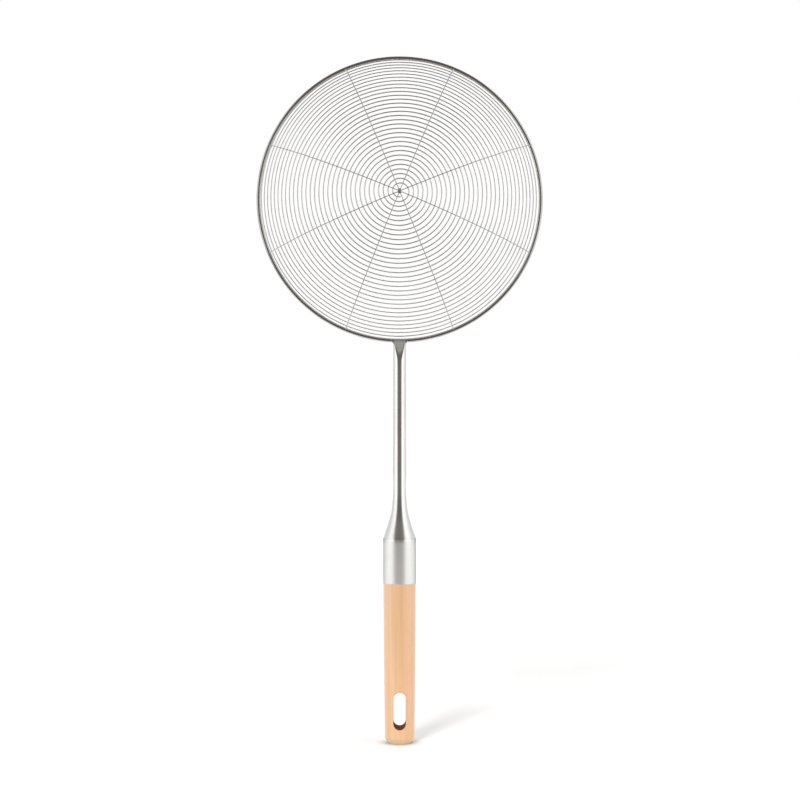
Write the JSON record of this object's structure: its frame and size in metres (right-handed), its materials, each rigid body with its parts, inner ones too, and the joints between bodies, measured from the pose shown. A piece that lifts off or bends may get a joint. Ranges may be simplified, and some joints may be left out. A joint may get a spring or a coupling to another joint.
{
  "type": "wire skimmer",
  "caption": "Wire skimmer with a shallow round basket of spiral wire on spokes in a rod rim, a polished stem flaring into a satin ferrule, and a turned wooden grip with a hanging slot.",
  "frame": {"origin": "centre of the flat end face of the grip", "axes": "+Z along the grip and stem towards the basket, -Y the side that the basket bulges to, +Y the side that its mouth opens to, +X to the right when seen from -Y"},
  "size_m": [0.18, 0.0426, 0.4315],
  "materials": {
    "polished_steel": "polished stainless steel",
    "basket_wire": "bright drawn stainless wire",
    "satin_steel": "satin brushed stainless steel",
    "beech": "light beech under satin lacquer"
  },
  "bodies": {
    "root": {"grip": "beech", "tang_rod": "satin_steel", "ferrule": "satin_steel", "stem": "polished_steel", "rim_hoop": "polished_steel", "spiral_wire": "basket_wire", "spoke_1": "basket_wire", "spoke_2": "basket_wire", "spoke_3": "basket_wire", "spoke_4": "basket_wire", "spoke_5": "basket_wire", "spoke_6": "basket_wire", "spoke_7": "basket_wire", "spoke_8": "basket_wire", "hub_bead": "basket_wire"}
  },
  "joints": []
}
